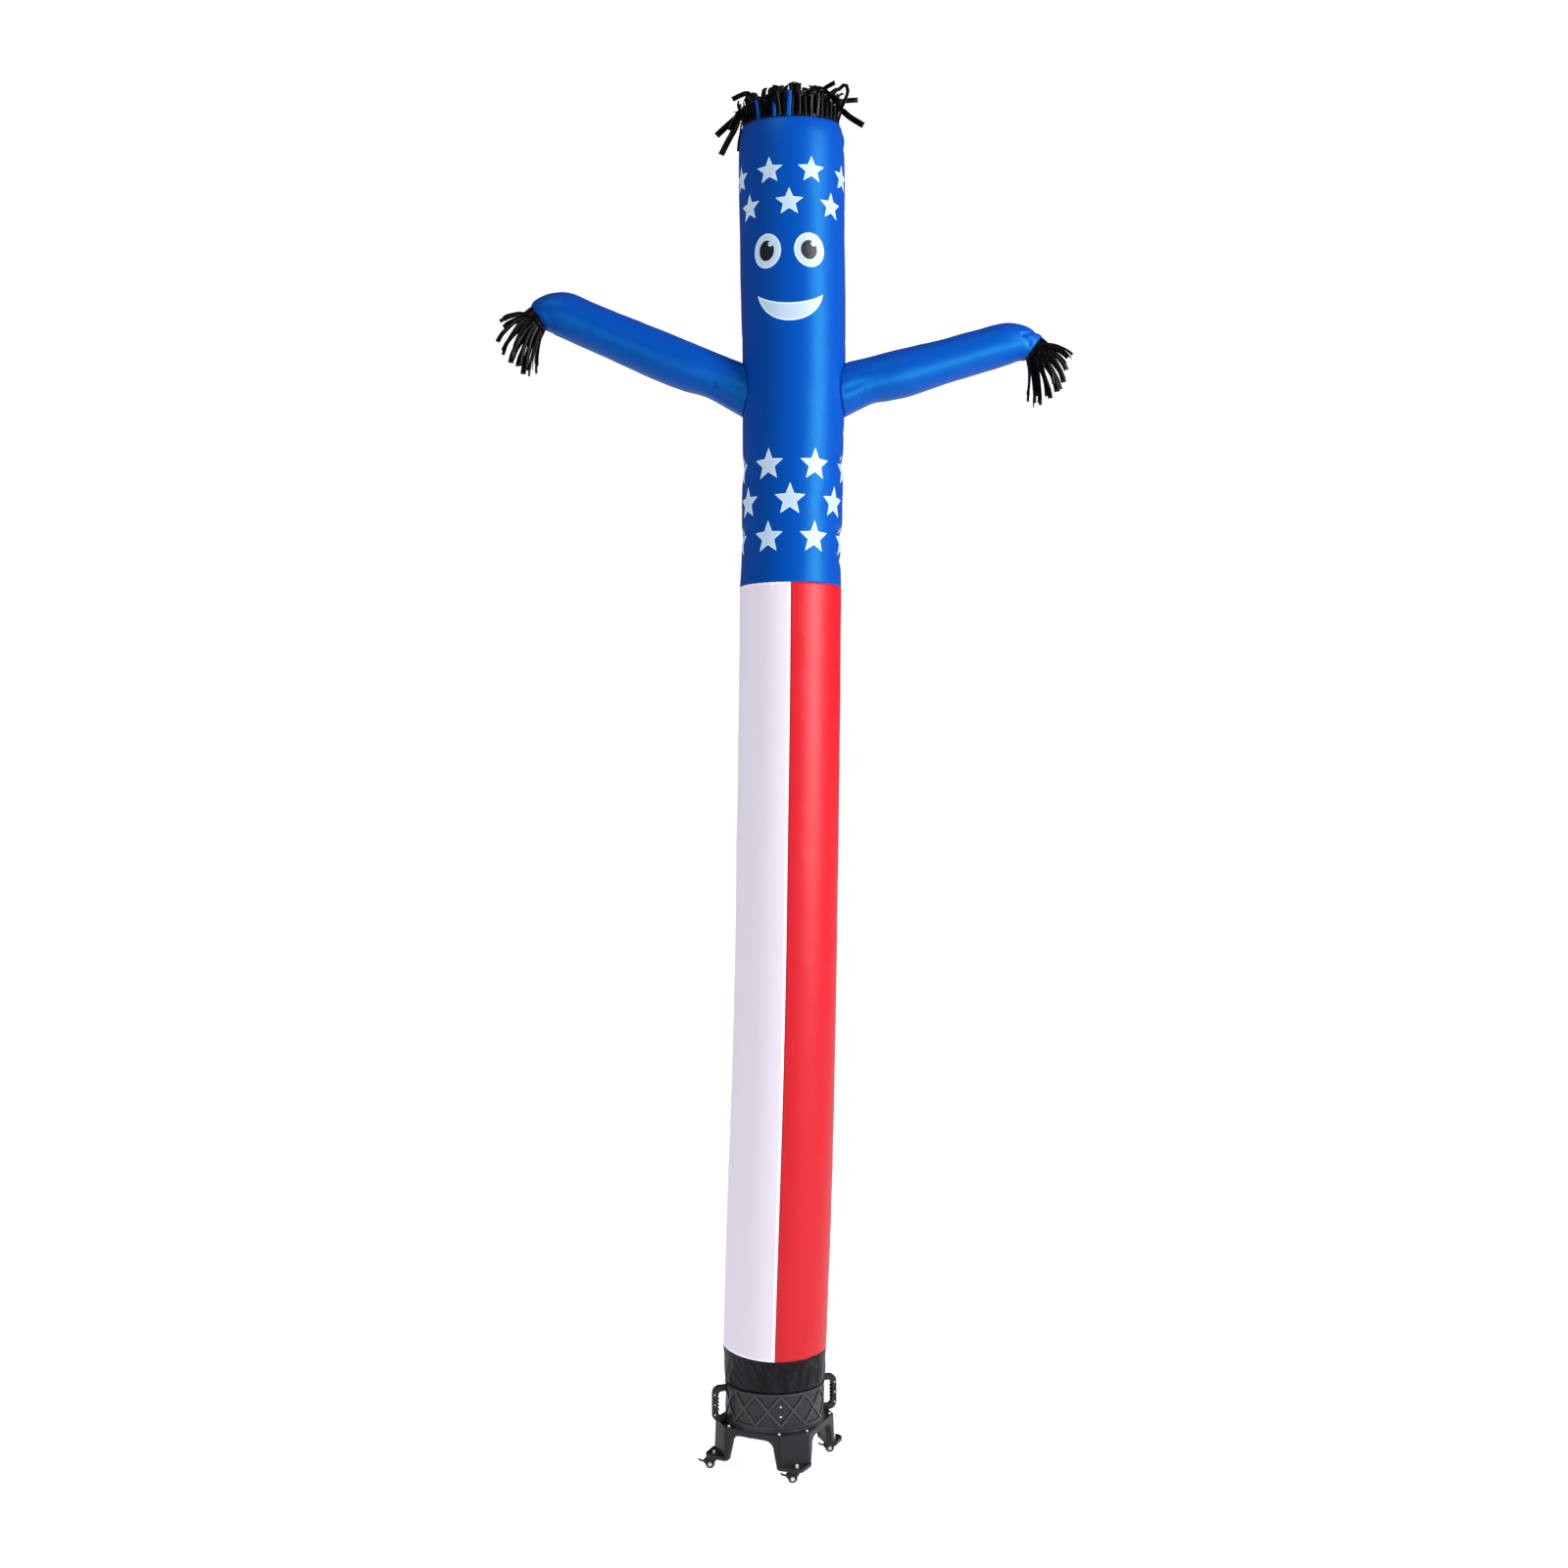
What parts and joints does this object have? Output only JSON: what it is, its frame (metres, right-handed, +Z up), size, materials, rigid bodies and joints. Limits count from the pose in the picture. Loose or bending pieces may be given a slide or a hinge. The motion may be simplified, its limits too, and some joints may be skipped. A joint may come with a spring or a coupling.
{
  "type": "inflatable air dancer on a blower stand",
  "caption": "Tall inflated cloth tube figure with a smiling face, two outstretched arms and a black strip fringe, standing in a round moulded blower housing on swivel casters.",
  "frame": {"origin": "on the floor under the middle of the object's outer box", "axes": "+Z up along the tube, +X towards the arm on the right of the picture, the face looks along -Y"},
  "size_m": [2.5364, 0.6154, 6.0922],
  "materials": {
    "black_plastic": "moulded satin black",
    "chrome_parts": "bright chrome plate",
    "wheel_rubber": "dull black tread",
    "blue_cloth": "coated nylon with printed stars and face",
    "white_cloth": "coated nylon",
    "red_cloth": "coated nylon",
    "black_satin": "satin weave",
    "black_strips": "glossy coated strips"
  },
  "bodies": {
    "base": {"stand": "black_plastic", "blower_ring": "black_plastic", "handle_left": "black_plastic", "handle_right": "black_plastic", "ring_boss": "black_plastic", "boss_screw_upper": "chrome_parts", "boss_screw_lower": "chrome_parts", "deck_bolt_1": "chrome_parts", "deck_bolt_2": "chrome_parts", "deck_bolt_3": "chrome_parts", "deck_bolt_4": "chrome_parts", "deck_bolt_5": "chrome_parts", "deck_bolt_6": "chrome_parts", "deck_bolt_7": "chrome_parts", "deck_bolt_8": "chrome_parts", "caster_stem_right": "chrome_parts", "caster_stem_back": "chrome_parts", "caster_stem_left": "chrome_parts", "caster_stem_front": "chrome_parts", "sleeve": "black_satin", "panel_red_front": "red_cloth", "panel_white_back": "white_cloth", "panel_red_back": "red_cloth", "panel_white_front": "white_cloth", "body_tube": "blue_cloth", "arm_left": "blue_cloth", "arm_right": "blue_cloth", "hair": "black_strips", "hand_left": "black_strips", "hand_right": "black_strips"},
    "swivel_right": {"caster_fork_right": "black_plastic"},
    "swivel_back": {"caster_fork_back": "black_plastic"},
    "swivel_left": {"caster_fork_left": "black_plastic"},
    "swivel_front": {"caster_fork_front": "black_plastic"},
    "wheel_right": {"caster_wheel_right": "wheel_rubber"},
    "wheel_back": {"caster_wheel_back": "wheel_rubber"},
    "wheel_left": {"caster_wheel_left": "wheel_rubber"},
    "wheel_front": {"caster_wheel_front": "wheel_rubber"},
    "brake_right": {"brake_lever_right": "black_plastic"},
    "brake_back": {"brake_lever_back": "black_plastic"},
    "brake_left": {"brake_lever_left": "black_plastic"},
    "brake_front": {"brake_lever_front": "black_plastic"}
  },
  "joints": [
    {"name": "swivel_turn_right", "type": "hinge", "parent": "base", "child": "swivel_right", "pos_m": [0.22305, 0.09611, 0.05], "axis": [0, 0, 1], "continuous": true},
    {"name": "swivel_turn_back", "type": "hinge", "parent": "base", "child": "swivel_back", "pos_m": [-0.13711, 0.26405, 0.05], "axis": [0, 0, 1], "continuous": true},
    {"name": "swivel_turn_left", "type": "hinge", "parent": "base", "child": "swivel_left", "pos_m": [-0.30505, -0.09611, 0.05], "axis": [0, 0, 1], "continuous": true},
    {"name": "swivel_turn_front", "type": "hinge", "parent": "base", "child": "swivel_front", "pos_m": [0.05511, -0.26405, 0.05], "axis": [0, 0, 1], "continuous": true},
    {"name": "wheel_spin_right", "type": "hinge", "parent": "swivel_right", "child": "wheel_right", "pos_m": [0.20505, 0.09611, 0.02], "axis": [0, 1, 0], "continuous": true},
    {"name": "wheel_spin_back", "type": "hinge", "parent": "swivel_back", "child": "wheel_back", "pos_m": [-0.15511, 0.26405, 0.02], "axis": [0, 1, 0], "continuous": true},
    {"name": "wheel_spin_left", "type": "hinge", "parent": "swivel_left", "child": "wheel_left", "pos_m": [-0.32305, -0.09611, 0.02], "axis": [0, 1, 0], "continuous": true},
    {"name": "wheel_spin_front", "type": "hinge", "parent": "swivel_front", "child": "wheel_front", "pos_m": [0.03711, -0.26405, 0.02], "axis": [0, 1, 0], "continuous": true},
    {"name": "brake_tip_right", "type": "hinge", "parent": "swivel_right", "child": "brake_right", "pos_m": [0.18155, 0.09611, 0.03], "axis": [0, 1, 0], "range_deg": [0, 8]},
    {"name": "brake_tip_back", "type": "hinge", "parent": "swivel_back", "child": "brake_back", "pos_m": [-0.17861, 0.26405, 0.03], "axis": [0, 1, 0], "range_deg": [0, 8]},
    {"name": "brake_tip_left", "type": "hinge", "parent": "swivel_left", "child": "brake_left", "pos_m": [-0.34655, -0.09611, 0.03], "axis": [0, 1, 0], "range_deg": [0, 8]},
    {"name": "brake_tip_front", "type": "hinge", "parent": "swivel_front", "child": "brake_front", "pos_m": [0.01361, -0.26405, 0.03], "axis": [0, 1, 0], "range_deg": [0, 8]}
  ]
}
